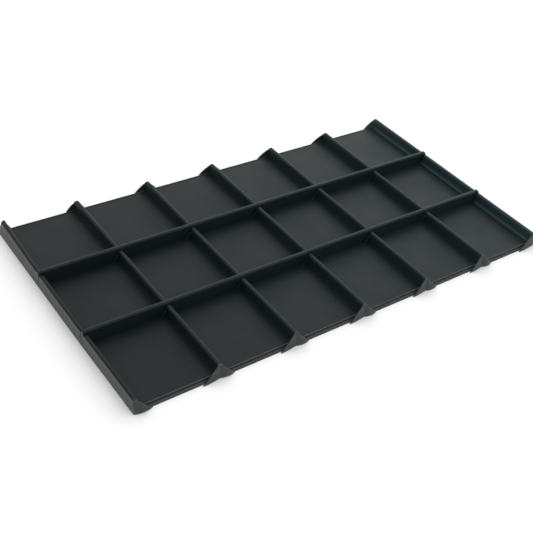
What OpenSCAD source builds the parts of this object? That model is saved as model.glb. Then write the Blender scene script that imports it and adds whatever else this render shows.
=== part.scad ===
// Shallow 18-compartment nursery tray with slotted-in long dividers and cross partitions.
// Millimetres, +X along the length, +Z up, origin at the centre of the underside.

/* [Overall size] */
// Length over the outer faces of the side walls
tray_l = 540; // [480:5:600]
// Width of the base over the bottom edges of its front and back lips
base_w = 290; // [260:2:320]
// Width of the middle row between the centres of the long dividers
middle_row_w = 95.6; // [80:0.2:110]
// Height of the side walls and cross partitions above the bench
rim_h = 15.8; // [13:0.2:22]
// Height of the long dividers above the bench
divider_h = 18.9; // [18:0.1:26]

/* [Walls and floor] */
// Thickness of side walls, dividers and partitions
wall_t = 5; // [4:0.1:7]
// Thickness of the floor panel
floor_t = 3.7; // [3:0.1:4.5]
// Radius of the bead along the top edge of the front and back lips
bead_r = 0.6; // [0.4:0.1:1]
// Radius of the rounded top edges
edge_r = 1.4; // [0.4:0.1:1.4]
// Radius of the fillet where an upright meets the floor
foot_r = 0.6; // [0.3:0.1:1.5]

/* [Triangular webs] */
// Distance that a web reaches from the middle of its wall at bench level
web_reach = 17.5; // [12:0.5:24]
// Thickness of an outer web at the top
web_edge_t = 1.4; // [1:0.1:2]
// How far an outer web's face leans back between the bench and its top
web_lean = 3.2; // [2.8:0.1:4]
// How far the bottom edge of an outer web stands in front of the lip
web_stand = 0.5; // [0.2:0.1:1]
// Extra thickness at the crest of an outer web's bulged face
web_bulge = 2; // [0.6:0.1:3]
// Thickness of the flat webs against the long dividers
inner_web_t = 2.4; // [1.5:0.1:4]

/* [Divider slots] */
// Height of the bottom of a wall slot above the bench
slot_floor_z = 6; // [6:0.5:10]
// Gap between a lift-out divider and each surface beside it
divider_gap = 0.3; // [0.2:0.05:0.6]

/* [Hidden] */
columns = 6;
ROWS = ["front", "middle", "back"];
rows = len(ROWS);
function partition_name(row, place) = str(ROWS[row], "_row_partition_", place);

$fn = 48;
tray_color = [0.24, 0.27, 0.26];
wall_color = [0.33, 0.36, 0.35];
divider_color = [0.38, 0.43, 0.42];
partition_color = [0.29, 0.33, 0.32];

column_pitch = (tray_l - wall_t) / columns;
divider_y = middle_row_w / 2;
inside_l = tray_l - 2 * wall_t;
lip_foot_y = base_w / 2;
web_foot_y = lip_foot_y + web_stand;
apex_y = web_foot_y - web_lean;
lip_top_y = apex_y;
bead_set_back = 1.2 * bead_r;
web_back_y = apex_y - web_edge_t;
web_middle_y = apex_y - web_edge_t / 2;
lean_angle = atan(web_lean / rim_h);
apex_half_w = wall_t / 2 - edge_r;
cut = 1;

// Upright cross-section standing on y = 0, with rounded top edges
module upright_profile(height) {
    translate([-wall_t / 2, 0])
        square([wall_t, height - edge_r]);
    translate([-apex_half_w, 0])
        square([2 * apex_half_w, height]);
    for (side = [-1, 1])
        translate([side * apex_half_w, height - edge_r])
            circle(r = edge_r);
}

// Concave fillets on both sides of an upright's foot
module foot_profile() {
    difference() {
        translate([-wall_t / 2 - foot_r, 0])
            square([wall_t + 2 * foot_r, foot_r]);
        for (side = [-1, 1])
            translate([side * (wall_t / 2 + foot_r), foot_r])
                circle(r = foot_r);
    }
}

// Extrudes a profile along +Y, with its own Y upright
module extrude_y(from_y, to_y) {
    translate([0, to_y, 0])
        rotate([90, 0, 0])
            linear_extrude(to_y - from_y)
                children();
}

// Extrudes a profile along +X: its X becomes Y and its Y becomes Z
module extrude_x(from_x, to_x) {
    translate([from_x, 0, 0])
        rotate([90, 0, 90])
            linear_extrude(to_x - from_x)
                children();
}

// Triangle that slopes from a wall's top down to bench level on both sides
module web_triangle() {
    polygon([
        [-web_reach, 0],
        [web_reach, 0],
        [apex_half_w, rim_h],
        [-apex_half_w, rim_h]
    ]);
}

// Plan outline of an outer web with its bulged face towards -Y, from start_x to end_x
module web_plan(start_x, end_x) {
    span = end_x - start_x;
    face_r = (span * span / 4 + web_bulge * web_bulge) / (2 * web_bulge);
    intersection() {
        translate([start_x + span / 2, face_r - web_bulge])
            circle(r = face_r, $fn = 192);
        translate([start_x, -web_bulge])
            square([span, web_bulge + web_lean + 2 * web_edge_t]);
    }
}

// Outer web at the front edge: bulged, leaning back, and triangular in front view
module outer_web(start_x, end_x) {
    intersection() {
        translate([0, -web_foot_y, 0])
            rotate([-lean_angle, 0, 0])
                translate([0, 0, -cut])
                    linear_extrude(rim_h + 2 * cut)
                        web_plan(start_x, end_x);
        extrude_y(-web_foot_y - web_bulge - cut, -web_back_y)
            web_triangle();
    }
}

// Base in side view: flat floor, a sloped lip at each edge and a bead on top of each lip
module base_profile() {
    polygon([
        [-lip_foot_y, 0],
        [lip_foot_y, 0],
        [lip_top_y, floor_t],
        [-lip_top_y, floor_t]
    ]);
    for (side = [-1, 1])
        translate([side * (lip_top_y - bead_set_back), floor_t])
            circle(r = bead_r);
}

module base_body() {
    extrude_x(-inside_l / 2, inside_l / 2)
        base_profile();
}

module base_tray() {
    color(tray_color)
        base_body();
}

// Wall at x = 0 with a web on its +X side at each end, and two slots open at the top
module side_wall() {
    difference() {
        extrude_y(-web_middle_y, web_middle_y)
            upright_profile(rim_h);
        for (side = [-1, 1])
            translate([-wall_t, side * divider_y - wall_t / 2 - divider_gap, slot_floor_z])
                cube([2 * wall_t, wall_t + 2 * divider_gap, rim_h]);
    }
    for (side = [0, 1])
        mirror([0, side, 0])
            outer_web(-wall_t / 2, web_reach);
}

module left_side_wall() {
    color(wall_color)
        difference() {
            translate([(wall_t - tray_l) / 2, 0, 0])
                side_wall();
            base_body();
        }
}

module right_side_wall() {
    mirror([1, 0, 0])
        left_side_wall();
}

// Long divider centred on y = 0: a blade with a narrower tab through each side wall
module long_divider() {
    blade_z = floor_t + divider_gap;
    blade_half_l = inside_l / 2 - divider_gap;
    translate([0, 0, blade_z])
        extrude_x(-blade_half_l, blade_half_l)
            upright_profile(divider_h - blade_z);
    translate([0, 0, slot_floor_z])
        extrude_x(-tray_l / 2, tray_l / 2)
            upright_profile(divider_h - slot_floor_z);
}

module front_long_divider() {
    color(divider_color)
        translate([0, -divider_y, 0])
            long_divider();
}

module back_long_divider() {
    color(divider_color)
        translate([0, divider_y, 0])
            long_divider();
}

// Flat web on both sides of a partition's end, its face at face_y and its body towards -Y
module inner_web(face_y) {
    intersection() {
        extrude_y(face_y - inner_web_t, face_y)
            web_triangle();
        translate([-web_reach, face_y - inner_web_t, floor_t])
            cube([2 * web_reach, inner_web_t, rim_h]);
    }
}

module partition_blade(from_y, to_y) {
    translate([0, 0, floor_t])
        extrude_y(from_y, to_y)
            union() {
                upright_profile(rim_h - floor_t);
                foot_profile();
            }
}

module middle_partition() {
    half_l = divider_y - wall_t / 2 - divider_gap;
    partition_blade(-half_l, half_l);
    for (side = [0, 1])
        mirror([0, side, 0])
            inner_web(half_l);
}

// Front-row partition: its outer webs reach down over the lip
module front_partition() {
    inner_end_y = -divider_y - wall_t / 2 - divider_gap;
    difference() {
        union() {
            partition_blade(-web_middle_y, inner_end_y);
            for (side = [0, 1])
                mirror([side, 0, 0])
                    outer_web(0, web_reach);
        }
        base_body();
    }
    inner_web(inner_end_y);
}

// One partition in a row (0 front, 1 middle, 2 back), place 1 nearest the left wall
module partition(row, place) {
    color(partition_color)
        translate([(place - columns / 2) * column_pitch, 0, 0])
            if (row == 1) {
                middle_partition();
            } else {
                mirror([0, row == 0 ? 0 : 1, 0])
                    front_partition();
            }
}

base_tray();
left_side_wall();
right_side_wall();
front_long_divider();
back_long_divider();
for (row = [0 : rows - 1], place = [1 : columns - 1])
    partition(row, place);
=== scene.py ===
"""Looks of the 18-compartment nursery tray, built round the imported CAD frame. Metres, +Z up."""
import math
import random

import bpy
from mathutils import Matrix, Vector


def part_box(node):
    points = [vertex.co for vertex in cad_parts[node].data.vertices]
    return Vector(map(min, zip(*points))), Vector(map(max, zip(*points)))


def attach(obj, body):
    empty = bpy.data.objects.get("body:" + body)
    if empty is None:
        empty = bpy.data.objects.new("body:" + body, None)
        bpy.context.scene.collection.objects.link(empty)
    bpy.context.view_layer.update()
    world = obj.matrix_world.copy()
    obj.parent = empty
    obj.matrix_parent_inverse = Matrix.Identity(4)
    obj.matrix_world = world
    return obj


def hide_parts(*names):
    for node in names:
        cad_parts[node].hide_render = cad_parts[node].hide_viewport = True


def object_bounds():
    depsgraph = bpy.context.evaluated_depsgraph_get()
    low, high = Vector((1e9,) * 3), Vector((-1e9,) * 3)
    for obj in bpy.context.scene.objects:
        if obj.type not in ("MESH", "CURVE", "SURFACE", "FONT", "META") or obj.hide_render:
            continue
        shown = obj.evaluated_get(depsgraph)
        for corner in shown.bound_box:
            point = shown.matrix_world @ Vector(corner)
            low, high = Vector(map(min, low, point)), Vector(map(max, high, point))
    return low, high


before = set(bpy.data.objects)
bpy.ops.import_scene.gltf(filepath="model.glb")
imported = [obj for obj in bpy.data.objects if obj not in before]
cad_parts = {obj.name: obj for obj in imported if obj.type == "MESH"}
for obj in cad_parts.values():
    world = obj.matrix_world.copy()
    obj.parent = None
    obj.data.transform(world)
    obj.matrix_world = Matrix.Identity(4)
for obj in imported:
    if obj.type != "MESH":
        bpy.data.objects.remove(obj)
cad_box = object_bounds()

MM = 0.001
SEED = 20
COLUMNS = 6
ROWS = ("front", "middle", "back")
TINY = 0.02 * MM  # distance between two stations that make a sharp step
ACROSS = 16  # steps over the thickness of a partition or a side wall
DIVIDER_ACROSS = 6  # steps over the thickness of a long divider
BASE_ACROSS = 120  # steps over the length of the base
SHARP_ANGLE = math.radians(50)  # edges that fold more than this are shaded sharp
NORMAL_WEIGHT = 80
WEB_SPREAD = 1.6 * MM  # how much the webs differ in reach
BULGE_SPREAD = 0.1  # how much the webs differ in bulge, as a share
FLOOR_SINK = 0.15 * MM
LEFT_BOW = 2.1 * MM  # how far the left wall has bowed inwards at its back end
LEFT_LEAN = 2.6 * MM  # how far its top leans further inwards there
BOW_POWER = 1.2  # how late the bow starts along the wall

# ---------------------------------------------------------------- sizes from the CAD frame
base_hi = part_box("base_tray")[1]
wall_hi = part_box("left_side_wall")[1]
div_lo, div_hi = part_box("back_long_divider")
mid_lo, mid_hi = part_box("middle_row_partition_3")
back_lo, back_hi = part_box("back_row_partition_3")

HALF_L = cad_box[1].x
RIM_Z = wall_hi.z
DIVIDER_Z = div_hi.z
WALL_T = div_hi.y - div_lo.y
DIVIDER_Y = (div_hi.y + div_lo.y) / 2
INSIDE_X = base_hi.x
PITCH = (2 * HALF_L - WALL_T) / COLUMNS
WEB_REACH = back_hi.x
FLOOR_Z = mid_lo.z
LIP_FOOT_Y = base_hi.y
MIDDLE_END_Y = mid_hi.y
ROW_END_Y = back_lo.y
ROW_LINES_Y = (-LIP_FOOT_Y, -DIVIDER_Y, DIVIDER_Y, LIP_FOOT_Y)

# ---------------------------------------------------------------- sizes of the mouldings
EDGE_R = 2.2 * MM  # rounding of the top edges
APEX_HALF_W = WALL_T / 2 - EDGE_R
FOOT_R = 0.25 * MM
LEFT_FOOT_R = 1.2 * MM  # fillets along the inside of the side walls
RIGHT_FOOT_R = 4.0 * MM
BEAD_R = base_hi.z - FLOOR_Z
WEB_STAND = 0.5 * MM  # how far a web's foot stands in front of the lip
WEB_LEAN = 3.2 * MM
WEB_FOOT_Y = LIP_FOOT_Y + WEB_STAND
APEX_Y = WEB_FOOT_Y - WEB_LEAN
WEB_EDGE_T = 1.4 * MM
WEB_BACK_Y = APEX_Y - WEB_EDGE_T
WEB_BULGE = 2.0 * MM
PROUD_REACH = WEB_REACH + 3.6 * MM  # reach of the tips that stand proud
RIGHT_CORNER_REACH = PROUD_REACH + 4.0 * MM  # the front corner web of the right wall
LEFT_CORNER_REACH = WEB_REACH - 5.0 * MM  # the back corner web of the left wall
BACK_REACH_STEP = 1.9 * MM  # how much the back webs widen from each partition to the next
INNER_WEB_T = 2.4 * MM
INNER_REACH = 11.0 * MM  # reach of the webs against the long dividers
BEAD_Y = APEX_Y - 1.2 * BEAD_R
GROOVE_W = 0.7 * MM  # a groove under each bead, at the top of the lip's slope
GROOVE_DEPTH = 0.6 * MM
GROOVE_Y = BEAD_Y + BEAD_R + GROOVE_W / 2
SLOT_FLOOR_Z = 6.0 * MM
SLOT_GAP = 0.3 * MM
BLADE_Z = FLOOR_Z + SLOT_GAP
SHARP_R = 0.5 * MM  # rounding of the thin edges
END_R = 0.8 * MM  # rounding of the blades' free ends
CORNER_R = 3.6 * MM  # rounding of the dividers' top corners in side view


def round_in(distance, radius):
    """How far a rounded edge stands back from its corner, at this distance from it."""
    if distance >= radius:
        return 0.0
    d = radius - max(distance, 0.0)
    return radius - math.sqrt(radius * radius - d * d)


def spread(start, end, count):
    """Evenly spaced values from start to end, both included."""
    return [start + (end - start) * i / count for i in range(count + 1)]


def round_start(start, radius, count):
    """Values over a quarter round that begins at start, close together there."""
    return [start + radius * (1 - math.cos(math.pi / 2 * i / count)) for i in range(count + 1)]


def round_end(end, radius, count):
    """Values over a quarter round that finishes at end, close together there."""
    return [end - radius * (1 - math.cos(math.pi / 2 * i / count)) for i in range(count, -1, -1)]


def tidy(values):
    """Sorted values with the near repeats taken out."""
    out = []
    for value in sorted(values):
        if not out or value - out[-1] > TINY / 4:
            out.append(value)
    return out


# ---------------------------------------------------------------- mesh building
def loft(name, stations, across, levels):
    """A closed quad mesh through stations. Each station turns (u, level) into a point: u in across runs
    over the thickness from -1 to 1, and levels run from the bottom to the top."""
    nu, nv = len(across), len(levels)
    index, verts, faces = {}, [], []

    def vertex(s, i, j):
        if (s, i, j) not in index:
            index[s, i, j] = len(verts)
            verts.append(stations[s](across[i], levels[j]))
        return index[s, i, j]

    last = len(stations) - 1
    ring = (
        [(0, j) for j in range(nv - 1)]
        + [(i, nv - 1) for i in range(nu - 1)]
        + [(nu - 1, j) for j in range(nv - 1, 0, -1)]
        + [(i, 0) for i in range(nu - 1, 0, -1)]
    )
    for s in range(last):
        for a, b in zip(ring, ring[1:] + ring[:1]):
            faces.append((vertex(s, *a), vertex(s, *b), vertex(s + 1, *b), vertex(s + 1, *a)))
    for i in range(nu - 1):
        for j in range(nv - 1):
            corners = ((i, j), (i + 1, j), (i + 1, j + 1), (i, j + 1))
            faces.append(tuple(vertex(0, *c) for c in corners))
            faces.append(tuple(vertex(last, *c) for c in reversed(corners)))
    mesh = bpy.data.meshes.new(name)
    mesh.from_pydata(verts, [], faces)
    mesh.validate()
    mesh.update()
    return mesh


def piece(mesh, node, body, material):
    """Puts a finished mesh in place of its CAD node, smooth-shaded."""
    obj = bpy.data.objects.new(node + "_moulding", mesh)
    bpy.context.scene.collection.objects.link(obj)
    if sum(p.area * p.normal.dot(p.center) for p in mesh.polygons) < 0:
        mesh.flip_normals()
    mesh.shade_smooth()
    mesh.set_sharp_from_angle(angle=SHARP_ANGLE)
    weighted = obj.modifiers.new("weighted_normals", "WEIGHTED_NORMAL")
    weighted.keep_sharp = True
    weighted.weight = NORMAL_WEIGHT
    mesh.materials.append(material)
    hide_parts(node)
    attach(obj, body)
    return obj


def placed(station, flip_x=1, flip_y=1, x=0.0):
    """A station mirrored and moved into place."""

    def moved(u, level):
        point = station(u, level)
        return (x + flip_x * point[0], flip_y * point[1], point[2])

    return moved


# ---------------------------------------------------------------- cross-sections
def left_bow(y):
    """How far the left wall stands inwards of its straight line at y."""
    return LEFT_BOW * max(0.0, (y + DIVIDER_Y) / (LIP_FOOT_Y + DIVIDER_Y)) ** BOW_POWER


def web_half_w(z, reach):
    """Half width of a triangular web at height z."""
    return reach + (APEX_HALF_W - reach) * z / RIM_Z


def upright_levels(top):
    """Heights from the floor and, beside each, the height that it takes in an outer web, which
    starts from the bench."""
    low = round_start(FLOOR_Z, FOOT_R, 4)
    high = spread(FLOOR_Z + FOOT_R, top - EDGE_R, 14)[1:] + round_end(top, EDGE_R, 6)[1:]
    pairs = list(zip(low, spread(0.0, FLOOR_Z + FOOT_R, len(low) - 1)))
    return pairs + [(z, z) for z in high]


def web_arc(x, start, end, bulge, proud):
    """How far an outer web's face bulges at x: an arc from start to end that is highest half way, or
    highest at end where the web's tip stands proud."""
    half = (end - start) * (1.0 if proud else 0.5)
    radius = (half * half + bulge * bulge) / (2 * bulge)
    off = min(abs(x - start - half), half)
    return max(0.0, math.sqrt(radius * radius - off * off) - radius + bulge)


def lip_face_y(z):
    """Where the slope of the lip is at height z, carried on above the lip."""
    return LIP_FOOT_Y + (APEX_Y - LIP_FOOT_Y) * z / FLOOR_Z


def web_front_y(z):
    """Where an outer web's leaning face is, without its bulge."""
    return APEX_Y + WEB_LEAN * (1 - z / RIM_Z)


def web_y(z, share, arc):
    """Depth of a point in an outer web, from its back (share 0) to its bulged face (share 1)."""
    face = web_front_y(z) + arc
    back = max(lip_face_y(z), face - WEB_EDGE_T)
    return back + share * (face - back)


def web_shares():
    """Places through an outer web's depth, 0 at its back and 1 at its face, close at both edges."""
    edge = SHARP_R / WEB_EDGE_T
    return tidy(round_start(0.0, edge, 4) + round_end(1.0, edge, 5))


# ---------------------------------------------------------------- partitions
class Partition:
    """One cross partition in its own axes: x across, y outwards along it, z up."""

    def __init__(self, reach_left, reach_right, bulge, proud_side):
        self.reach = {-1: reach_left, 1: reach_right}
        self.bulge = bulge
        self.proud_side = proud_side  # -1 left, 1 right, 0 neither

    def half_w(self, reach, z, past_web, from_end):
        """Half thickness at height z. past_web is the distance past the web's inner face, negative
        inside the web, and from_end the distance from the web's free face."""
        top_round = round_in(RIM_Z - z, EDGE_R)
        blade = WALL_T / 2 - top_round + round_in(z - FLOOR_Z, FOOT_R) * (z >= FLOOR_Z)
        web = web_half_w(z, reach)
        if past_web <= 0:
            thin = round_in(-past_web, SHARP_R) + round_in(from_end, SHARP_R)
            return max(blade - round_in(from_end, SHARP_R), web - thin)
        return blade + min(max(web - blade, 0.0), round_in(past_web, FOOT_R))

    def blade_station(self, y, past_web, from_end):
        """A station of the blade at y, or of an inner web where past_web is negative."""

        def station(u, level):
            z = level[0]
            drop = round_in(from_end, END_R) * (z - FLOOR_Z) / (RIM_Z - FLOOR_Z)
            return (u * self.half_w(INNER_REACH, z, past_web, from_end), y, z - drop)

        return station

    def outer_station(self, share, past_web=0.0):
        """A station in the outer web, from its back (share 0) to its bulged face (share 1), or of
        the blade where it meets the web's back."""

        def station(u, level):
            z = level[1]
            side = -1 if u < 0 else 1
            depth = WEB_EDGE_T
            half = self.half_w(self.reach[side], z, past_web - share * depth, (1 - share) * depth)
            arc = web_arc(abs(u) * half, 0.0, self.reach[side], self.bulge, side == self.proud_side)
            drop = round_in((1 - share) * depth, SHARP_R) * z / RIM_Z
            return (u * half, web_y(z, share, arc) - past_web, z - drop)

        return station


def inner_web_stations(part, end_y, way):
    """Stations from a partition's end at end_y through its inner web; way is the way inwards."""
    depths = round_start(0.0, SHARP_R, 4) + round_end(INNER_WEB_T, SHARP_R, 4)
    out = [part.blade_station(end_y + way * d, d - INNER_WEB_T, d) for d in tidy(depths)]
    for past in tidy(round_start(TINY, FOOT_R, 3)):
        depth = INNER_WEB_T + past
        out.append(part.blade_station(end_y + way * depth, past, depth))
    return out


def middle_stations(part):
    """Stations of a middle partition, with an inner web at each end."""
    inner = MIDDLE_END_Y - INNER_WEB_T - 2 * FOOT_R
    body = [part.blade_station(y, PITCH, PITCH) for y in spread(-inner, inner, 16)]
    front = inner_web_stations(part, -MIDDLE_END_Y, 1)
    return front + body + inner_web_stations(part, MIDDLE_END_Y, -1)[::-1]


def outer_stations(part):
    """Stations of a front or back partition, from the divider out to the bulged web."""
    start = ROW_END_Y + INNER_WEB_T + 2 * FOOT_R
    body = spread(start, WEB_BACK_Y - 2 * FOOT_R, 16)
    blade = [part.blade_station(y, PITCH, PITCH) for y in body]
    blade += [part.outer_station(0.0, past) for past in round_start(TINY, FOOT_R, 3)[::-1]]
    outer = [part.outer_station(share) for share in web_shares()]
    return inner_web_stations(part, ROW_END_Y, 1) + blade + outer


def build_partitions(material):
    rng = random.Random(SEED)
    levels = upright_levels(RIM_Z)
    across = spread(-1.0, 1.0, ACROSS)
    for row_name in ROWS:
        for place in range(1, COLUMNS):
            node = f"{row_name}_row_partition_{place}"
            reaches = [WEB_REACH - WEB_SPREAD * rng.random() for _ in range(2)]
            if row_name == "front":
                reaches[0] = PROUD_REACH - WEB_SPREAD * rng.random()
            if row_name == "back":
                reaches = [reach + (place - COLUMNS / 2) * BACK_REACH_STEP for reach in reaches]
            bulge = WEB_BULGE * (1 - BULGE_SPREAD * rng.random())
            part = Partition(*reaches, bulge, -1 if row_name == "front" else 0)
            stations = middle_stations(part) if row_name == "middle" else outer_stations(part)
            flip = -1 if row_name == "front" else 1
            x = (place - COLUMNS / 2) * PITCH
            mesh = loft(node, [placed(s, 1, flip, x) for s in stations], across, levels)
            piece(mesh, node, "tray", material)


# ---------------------------------------------------------------- side walls
def bowed(station):
    """A station of the left wall, moved inwards by its bow and its lean."""

    def moved(u, level):
        x, y, z = station(u, level)
        lean = LEFT_LEAN * (left_bow(y) / LEFT_BOW) ** 2 * z / RIM_Z
        return (x + left_bow(y) + lean, y, z)

    return moved


def wall_station(y, top, foot_r):
    """Plain side wall in its own axes: x = 0 at its middle and -x outside."""

    def station(u, level):
        z = level[1] * top / RIM_Z
        filleted = u > 0 and z >= FLOOR_Z and top > SLOT_FLOOR_Z
        foot = round_in(z - FLOOR_Z, foot_r) if filleted else 0.0
        return (u * (WALL_T / 2 - round_in(top - z, EDGE_R) + foot), y, z)

    return station


def wall_web_station(share, reach, proud):
    """A station in a side wall's corner web, from its back (share 0) to its face (share 1)."""

    def station(u, level):
        z = level[1]
        depth = WEB_EDGE_T
        away = (1 - share) * depth
        top_round = round_in(RIM_Z - z, EDGE_R)
        left = WALL_T / 2 - top_round - round_in(away, SHARP_R)
        thin = round_in(share * depth, SHARP_R) + round_in(away, SHARP_R)
        right = max(left, web_half_w(z, reach) - thin)
        x = -left + (left + right) * (u + 1) / 2
        arc = web_arc(x, -WALL_T / 2, reach, WEB_BULGE, proud)
        y = web_y(z, share, arc)
        if x <= WALL_T / 2:
            y = WEB_BACK_Y + share * (y - WEB_BACK_Y)
        return (x, y, z - round_in(away, SHARP_R) * z / RIM_Z)

    return station


def slot_stations(centre_y):
    """Stations over one divider slot, whose edges have a small rounding at the top."""
    half = WALL_T / 2 + SLOT_GAP
    lead = [(d, RIM_Z - round_in(d, END_R)) for d in round_start(0.0, END_R, 4)]
    before = [(centre_y - half - d, top) for d, top in lead[::-1]]
    after = [(centre_y + half + d, top) for d, top in lead]
    inside = [(centre_y + side * (half - TINY), SLOT_FLOOR_Z) for side in (-1, 1)]
    return before + inside + after


def side_wall_stations(reaches, proud_front, foot_r):
    """Stations of a side wall from its front corner web to its back one, reaches in that order."""
    shares = web_shares()
    front = [placed(wall_web_station(s, reaches[0], proud_front), 1, -1) for s in shares[::-1]]
    back = [wall_web_station(s, reaches[1], False) for s in shares]
    plain = spread(TINY - WEB_BACK_Y, WEB_BACK_Y - TINY, 40)
    heights = [(y, RIM_Z) for y in plain if abs(abs(y) - DIVIDER_Y) > WALL_T]
    heights += slot_stations(-DIVIDER_Y) + slot_stations(DIVIDER_Y)
    return front + [wall_station(y, top, foot_r) for y, top in sorted(heights)] + back


def build_side_walls(left, right):
    rng = random.Random(SEED + 1)
    levels = upright_levels(RIM_Z)
    for node, flip, material in (("left_side_wall", 1, left), ("right_side_wall", -1, right)):
        reaches = [WEB_REACH - WEB_SPREAD * rng.random() for _ in range(2)]
        x = flip * (WALL_T / 2 - HALF_L)
        if flip < 0:
            reaches[0] = RIGHT_CORNER_REACH
        else:
            reaches[1] = LEFT_CORNER_REACH
        foot_r = RIGHT_FOOT_R if flip < 0 else LEFT_FOOT_R
        stations = [placed(s, flip, 1, x) for s in side_wall_stations(reaches, flip < 0, foot_r)]
        if flip > 0:
            stations = [bowed(s) for s in stations]
        mesh = loft(node, stations, spread(-1.0, 1.0, ACROSS), levels)
        piece(mesh, node, "tray", material)


# ---------------------------------------------------------------- long dividers
def divider_station(x, bottom, y):
    """A station of a long divider at x, its blade or tab starting at bottom. Its left part follows
    the bow of the left wall."""
    bow = left_bow(y) * max(0.0, -x / HALF_L)

    def station(u, level):
        share = (level[0] - FLOOR_Z) / (DIVIDER_Z - FLOOR_Z)
        z = bottom + (DIVIDER_Z - bottom) * share
        half = WALL_T / 2 - max(round_in(DIVIDER_Z - z, EDGE_R), round_in(HALF_L - abs(x), END_R))
        return (x + bow, y - u * half, z - round_in(HALF_L - abs(x), CORNER_R) * share)

    return station


def build_dividers(material):
    levels = upright_levels(DIVIDER_Z)
    blade_end = INSIDE_X - SLOT_GAP
    places = [(x, BLADE_Z) for x in spread(TINY - blade_end, blade_end - TINY, 72)]
    for side in (-1, 1):
        corner = round_end(HALF_L, CORNER_R, 6) + round_end(HALF_L, END_R, 4)
        tab = tidy([blade_end + TINY, *corner])
        places += [(side * x, SLOT_FLOOR_Z) for x in tab]
    for node, body, y in (
        ("front_long_divider", "front_divider", -DIVIDER_Y),
        ("back_long_divider", "back_divider", DIVIDER_Y),
    ):
        stations = [divider_station(x, bottom, y) for x, bottom in sorted(places)]
        mesh = loft(node, stations, spread(-1.0, 1.0, DIVIDER_ACROSS), levels)
        piece(mesh, node, body, material)


# ---------------------------------------------------------------- base tray
def floor_sink(x, y):
    """How far the floor sinks at (x, y): most in the middle of a compartment, none at its edges."""
    cell_x = math.sin(math.pi * (x + HALF_L - WALL_T / 2) / PITCH)
    for start, end in zip(ROW_LINES_Y, ROW_LINES_Y[1:]):
        if start <= y <= end:
            return FLOOR_SINK * (cell_x * math.sin(math.pi * (y - start) / (end - start))) ** 2
    return 0.0


def base_top_z(x, y):
    """Top of the base: sinking floors, a bead near each edge and the sloped lips with a groove."""
    out = abs(y)
    off = abs(out - BEAD_Y)
    if off < BEAD_R:
        return FLOOR_Z + math.sqrt(BEAD_R**2 - off**2)
    if out < BEAD_Y:
        return FLOOR_Z - floor_sink(x, y)
    slope = min(1.0, (LIP_FOOT_Y - out) / (LIP_FOOT_Y - APEX_Y))
    groove = max(0.0, 1.0 - abs(out - GROOVE_Y) / (GROOVE_W / 2))
    return FLOOR_Z * slope - GROOVE_DEPTH * groove


def build_base(material):
    ys = spread(-BEAD_Y + 2 * BEAD_R, BEAD_Y - 2 * BEAD_R, 60)
    for side in (-1, 1):
        ys += [side * (BEAD_Y + BEAD_R * math.cos(math.pi * i / 10)) for i in range(11)]
        ys += [side * (GROOVE_Y + part * GROOVE_W / 2) for part in (-0.5, 0, 0.5, 1, 1.4)]
        ys += [side * y for y in round_end(LIP_FOOT_Y, SHARP_R, 2)]

    def base_station(y):
        def station(u, level):
            x = u * INSIDE_X
            top = base_top_z(x, y)
            return (x + left_bow(y) * max(0.0, -u), y, top * level)

        return station

    stations = [base_station(y) for y in tidy(ys)]
    mesh = loft("base_tray", stations, spread(-1.0, 1.0, BASE_ACROSS), [0.0, 1.0])
    piece(mesh, "base_tray", "tray", material)


# ---------------------------------------------------------------- materials
OUTER_PAINTED_LIGHT = (0.064, 0.072, 0.074)  # painted light: faces round the outside painted paler, standing in for light bounced off the white floor
SIDE_PAINTED_LIGHT = (0.088, 0.096, 0.093)  # painted light: the same, paler still, on the outer faces of the side walls
EDGE_HIGHLIGHT_COLOUR = (0.23, 0.235, 0.235)  # painted highlight along the sharp edges of those faces
EDGE_HIGHLIGHT_POINTINESS = (0.51, 0.54)  # where that colour starts and where it is full
BEAD_HIGHLIGHT_COLOUR = (0.105, 0.098, 0.100)  # painted highlight along the bead of each lip
WEAR_POINTINESS = (0.53, 0.6)  # the same for the wear along every other edge
WEAR_SHARE = 0.2
WORN_GAIN = 1.8  # how much paler worn plastic is
WORN_LIFT = 0.004
SCUFF_NOISE = (0.66, 0.8)
SCUFF_SHARE = 0.25
OUTER_LIGHT_PATCHINESS = (0.6, 1.0)  # how patchy the painted light on the outside faces is
SIDE_FACING = (0.75, 0.92)  # how squarely a face looks out to get the painted light, from none to full
LIP_FACING = (0.60, 0.85)
LIP_LEAST = 0.15  # how much of the painted light the lip's other faces get
MAP_RANGE_KEYS = ("From Min", "From Max", "To Min", "To Max")
MIX_FIRST, MIX_SECOND, MIX_RESULT = 6, 7, 2  # the colour sockets of a Mix node
CLOUD_SCALE = 14.0  # the noises' scales, from the coarsest detail to the finest
RIPPLE_SCALE = 22.0
ROUGH_SCALE = 38.0
SCUFF_SCALE = 160.0
OUTER_LIGHT_PATCH_SCALE = 300.0
GRAIN_SCALE = 2600.0
RIPPLE_HEIGHT = 0.25 * MM
RIPPLE_STRENGTH = 0.5
GRAIN_HEIGHT = 0.08 * MM
GRAIN_STRENGTH = 0.12
ROUGH_SPREAD = 0.04


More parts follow.
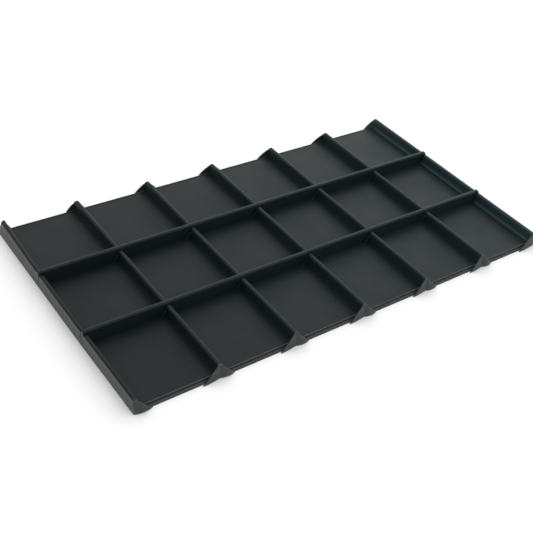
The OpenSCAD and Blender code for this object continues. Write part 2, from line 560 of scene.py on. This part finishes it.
def plastic(name, dark, light, painted_light_right, roughness, specular, grooved=False):
    """Satin dark moulded plastic: cloudy colour between dark and light, painted lighter towards
    painted_light_right at the right as painted light from the back right, fine grain, faint scuffs,
    paler worn edges, painted highlights on sharp outer edges and beads, and painted light on outside
    faces."""
    material = bpy.data.materials.new(name)
    material.use_nodes = True
    tree = material.node_tree
    nodes, links = tree.nodes, tree.links
    shader = nodes["Principled BSDF"]
    shader.inputs["Specular IOR Level"].default_value = specular
    shader.inputs["IOR"].default_value = 1.5
    place = nodes.new("ShaderNodeTexCoord").outputs["Object"]

    def noise(scale, detail, roughness_value):
        texture = nodes.new("ShaderNodeTexNoise")
        texture.inputs["Scale"].default_value = scale
        texture.inputs["Detail"].default_value = detail
        texture.inputs["Roughness"].default_value = roughness_value
        links.new(place, texture.inputs["Vector"])
        return texture.outputs["Fac"]

    def remap(value, low, high, out_low, out_high):
        node = nodes.new("ShaderNodeMapRange")
        for key, number in zip(MAP_RANGE_KEYS, (low, high, out_low, out_high)):
            node.inputs[key].default_value = number
        links.new(value, node.inputs["Value"])
        return node.outputs["Result"]

    def mix_colour(factor, first, second):
        node = nodes.new("ShaderNodeMix")
        node.data_type = "RGBA"
        links.new(factor, node.inputs["Factor"])
        for key, colour in ((MIX_FIRST, first), (MIX_SECOND, second)):
            if isinstance(colour, tuple):
                node.inputs[key].default_value = (*colour, 1.0)
            else:
                links.new(colour, node.inputs[key])
        return node.outputs[MIX_RESULT]

    def combine(operation, first, second):
        node = nodes.new("ShaderNodeMath")
        node.operation = operation
        links.new(first, node.inputs[0])
        links.new(second, node.inputs[1])
        return node.outputs[0]

    axes = nodes.new("ShaderNodeSeparateXYZ")
    links.new(place, axes.inputs[0])
    clouds = remap(noise(CLOUD_SCALE, 3.0, 0.55), 0.3, 0.7, 0.0, 1.0)
    # painted light: the colour grows lighter towards the right, standing in for the light from the back
    # right
    painted_light_share = remap(axes.outputs["X"], -HALF_L, HALF_L, 0.0, 1.0)
    body = mix_colour(painted_light_share, mix_colour(clouds, dark, light), painted_light_right)
    geometry = nodes.new("ShaderNodeNewGeometry")
    pointy = geometry.outputs["Pointiness"]
    edges = remap(pointy, *WEAR_POINTINESS, 0.0, WEAR_SHARE)
    worn = tuple(c * WORN_GAIN + WORN_LIFT for c in light)
    coloured = mix_colour(edges, body, worn)
    scuffs = remap(noise(SCUFF_SCALE, 6.0, 0.7), *SCUFF_NOISE, 0.0, SCUFF_SHARE)
    scuffed = mix_colour(scuffs, coloured, worn)

    def size_of(value):
        node = nodes.new("ShaderNodeMath")
        node.operation = "ABSOLUTE"
        links.new(value, node.inputs[0])
        return node.outputs[0]

    # painted light: faces looking out at the sides, the lips and the webs' fronts get a paler colour in
    # patches, standing in for light bounced off the white floor
    facing = nodes.new("ShaderNodeSeparateXYZ")
    links.new(geometry.outputs["Normal"], facing.inputs[0])
    from_centre = size_of(axes.outputs["Y"])
    outwards = combine("MULTIPLY", facing.outputs["X"], axes.outputs["X"])
    at_side = remap(outwards, SIDE_FACING[0] * HALF_L, SIDE_FACING[1] * HALF_L, 0.0, 1.0)
    at_lip = remap(from_centre, BEAD_Y - BEAD_R, BEAD_Y - 0.2 * BEAD_R, 0.0, 1.0)
    if grooved:
        # painted shade: the groove under each bead is kept out of the painted light, so it stays a dark
        # line
        inner = remap(from_centre, GROOVE_Y - 0.6 * GROOVE_W, GROOVE_Y - 0.3 * GROOVE_W, 1.0, 0.0)
        outer = remap(from_centre, GROOVE_Y + 0.2 * GROOVE_W, GROOVE_Y + GROOVE_W, 0.0, 1.0)
        at_lip = combine("MULTIPLY", at_lip, combine("MAXIMUM", inner, outer))
    else:
        faces_out = remap(size_of(facing.outputs["Y"]), *LIP_FACING, LIP_LEAST, 1.0)
        at_lip = combine("MULTIPLY", at_lip, faces_out)
    outer_light_patches = remap(noise(OUTER_LIGHT_PATCH_SCALE, 5.0, 0.7), 0.25, 0.75, *OUTER_LIGHT_PATCHINESS)
    # outside: how much of the painted light each face gets
    outside = combine("MULTIPLY", outer_light_patches, combine("MAXIMUM", at_side, at_lip))
    # painted highlight: sharp edges of the outside faces are painted pale, standing in for edge and
    # apex glints
    edge = remap(pointy, *EDGE_HIGHLIGHT_POINTINESS, 0.0, 1.0)
    if grooved:
        # painted highlight: the top of each lip's bead is painted pale
        edge = remap(from_centre, BEAD_Y + 0.1 * BEAD_R, BEAD_Y + 0.5 * BEAD_R, 1.0, 0.0)
    skin = mix_colour(at_side, OUTER_PAINTED_LIGHT, SIDE_PAINTED_LIGHT)
    outer_colour = mix_colour(edge, skin, BEAD_HIGHLIGHT_COLOUR if grooved else EDGE_HIGHLIGHT_COLOUR)
    links.new(mix_colour(outside, scuffed, outer_colour), shader.inputs["Base Color"])

    low, high = roughness - ROUGH_SPREAD, roughness + ROUGH_SPREAD
    rough = remap(noise(ROUGH_SCALE, 4.0, 0.6), 0.3, 0.7, low, high)
    links.new(rough, shader.inputs["Roughness"])

    grain = nodes.new("ShaderNodeBump")
    grain.inputs["Strength"].default_value = GRAIN_STRENGTH
    grain.inputs["Distance"].default_value = GRAIN_HEIGHT
    links.new(noise(GRAIN_SCALE, 2.0, 0.5), grain.inputs["Height"])
    ripple = nodes.new("ShaderNodeBump")
    ripple.inputs["Strength"].default_value = RIPPLE_STRENGTH
    ripple.inputs["Distance"].default_value = RIPPLE_HEIGHT
    links.new(noise(RIPPLE_SCALE, 2.0, 0.45), ripple.inputs["Height"])
    links.new(grain.outputs["Normal"], ripple.inputs["Normal"])
    links.new(ripple.outputs["Normal"], shader.inputs["Normal"])
    return material


# ---------------------------------------------------------------- studio
FLOOR_HALF = 6.0
FLOOR_WHITE = 0.93
WORLD_BRIGHT_WAY = (0.68, 0.58, 0.45)
WORLD_RANGE = (0.10, 1.66)  # its strength opposite that way, and that way
CAMERA_ANGLES = (42.24, 38.53, 9.72)  # azimuth, elevation and roll in degrees
CAMERA_DISTANCE = 10.875  # in compartment pitches
CAMERA_TARGET = (2.520, 1.223)  # in pitches from the front left corner
CAMERA_REACH = 1.690056  # focal length over sensor width
CAMERA_SHIFT = (-0.00075, 0.00105)
SENSOR_W = 36.0


def build_floor():
    """A large, plain, nearly white floor."""
    half = FLOOR_HALF
    mesh = bpy.data.meshes.new("studio_floor")
    corners = [(-half, -half, 0), (half, -half, 0), (half, half, 0), (-half, half, 0)]
    mesh.from_pydata(corners, [], [(0, 1, 2, 3)])
    floor = bpy.data.objects.new("studio_floor", mesh)
    bpy.context.scene.collection.objects.link(floor)
    material = bpy.data.materials.new("studio_white")
    material.use_nodes = True
    shader = material.node_tree.nodes["Principled BSDF"]
    shader.inputs["Base Color"].default_value = (FLOOR_WHITE, FLOOR_WHITE, FLOOR_WHITE, 1)
    shader.inputs["Roughness"].default_value = 0.9
    shader.inputs["Specular IOR Level"].default_value = 0.1
    mesh.materials.append(material)


def build_world():
    """A white studio, brighter towards the back right, whose walls look plain white to the camera."""
    world = bpy.data.worlds.new("studio")
    world.use_nodes = True
    nodes, links = world.node_tree.nodes, world.node_tree.links
    background = nodes["Background"]
    background.inputs["Color"].default_value = (1.0, 1.0, 1.0, 1)
    along = nodes.new("ShaderNodeVectorMath")
    along.operation = "DOT_PRODUCT"
    along.inputs[1].default_value = WORLD_BRIGHT_WAY
    links.new(nodes.new("ShaderNodeTexCoord").outputs["Generated"], along.inputs[0])
    level = nodes.new("ShaderNodeMapRange")
    for key, number in zip(MAP_RANGE_KEYS, (-1.0, 1.0, *WORLD_RANGE)):
        level.inputs[key].default_value = number
    links.new(along.outputs["Value"], level.inputs["Value"])
    seen = nodes.new("ShaderNodeMath")
    seen.operation = "MAXIMUM"
    links.new(level.outputs["Result"], seen.inputs[0])
    links.new(nodes.new("ShaderNodeLightPath").outputs["Is Camera Ray"], seen.inputs[1])
    links.new(seen.outputs[0], background.inputs["Strength"])
    bpy.context.scene.world = world


def soft_light(name, place, size, power):
    """A round soft box aimed at the tray."""
    data = bpy.data.lights.new(name, "AREA")
    data.shape = "DISK"
    data.size = size
    data.energy = power
    light = bpy.data.objects.new(name, data)
    bpy.context.scene.collection.objects.link(light)
    light.location = place
    light.rotation_mode = "QUATERNION"
    light.rotation_quaternion = (-Vector(place)).to_track_quat("-Z", "Y")


def build_camera():
    azimuth, elevation, roll = (math.radians(a) for a in CAMERA_ANGLES)
    distance = CAMERA_DISTANCE * PITCH
    along, into = CAMERA_TARGET
    target = Vector((along * PITCH - HALF_L + WALL_T / 2, into * PITCH - APEX_Y, 0.0))
    level = Vector((math.sin(azimuth), math.cos(azimuth), 0.0))
    away = level * math.cos(elevation) - Vector((0, 0, math.sin(elevation)))
    right = away.cross(Vector((0, 0, 1))).normalized()
    up = right.cross(away)
    x_axis = right * math.cos(roll) + up * math.sin(roll)
    y_axis = up * math.cos(roll) - right * math.sin(roll)
    data = bpy.data.cameras.new("camera")
    data.sensor_width = SENSOR_W
    data.lens = SENSOR_W * CAMERA_REACH
    camera = bpy.data.objects.new("camera", data)
    bpy.context.scene.collection.objects.link(camera)
    turn = Matrix((x_axis, y_axis, -away)).transposed().to_4x4()
    camera.matrix_world = Matrix.Translation(target - away * distance) @ turn
    data.shift_x, data.shift_y = CAMERA_SHIFT
    data.clip_start, data.clip_end = 0.01, 50.0
    bpy.context.scene.camera = camera


# ---------------------------------------------------------------- build it all
floor_plastic = plastic(
    "floor_plastic",
    dark=(0.0036, 0.0078, 0.0075),
    light=(0.0056, 0.0098, 0.0095),
    painted_light_right=(0.0090, 0.0170, 0.0178),
    roughness=0.48,
    specular=0.15,
    grooved=True,
)
wall_plastic = plastic(
    "wall_plastic",
    dark=(0.0050, 0.0085, 0.0085),
    light=(0.0070, 0.0105, 0.0105),
    painted_light_right=(0.0070, 0.0105, 0.0105),
    roughness=0.42,
    specular=0.13,
)
# painted light: a lighter copy of the wall plastic, standing in for light falling on the right wall's
# inner face
right_wall_lit_plastic = plastic(
    "right_wall_lit_plastic",
    dark=(0.026, 0.047, 0.052),
    light=(0.030, 0.053, 0.058),
    painted_light_right=(0.030, 0.053, 0.058),
    roughness=0.42,
    specular=0.08,
)
divider_plastic = plastic(
    "divider_plastic",
    dark=(0.0105, 0.0175, 0.0175),
    light=(0.0125, 0.0195, 0.0195),
    painted_light_right=(0.013, 0.028, 0.030),
    roughness=0.40,
    specular=0.13,
)
partition_plastic = plastic(
    "partition_plastic",
    dark=(0.0095, 0.0160, 0.0163),
    light=(0.0115, 0.0180, 0.0183),
    painted_light_right=(0.019, 0.034, 0.032),
    roughness=0.42,
    specular=0.11,
)

build_base(floor_plastic)
build_side_walls(wall_plastic, right_wall_lit_plastic)
build_dividers(divider_plastic)
build_partitions(partition_plastic)
build_floor()
build_world()
soft_light("back_light", place=(1.75, 1.35, 1.15), size=1.6, power=3.0)
build_camera()

scene = bpy.context.scene
scene.view_settings.view_transform = "Standard"
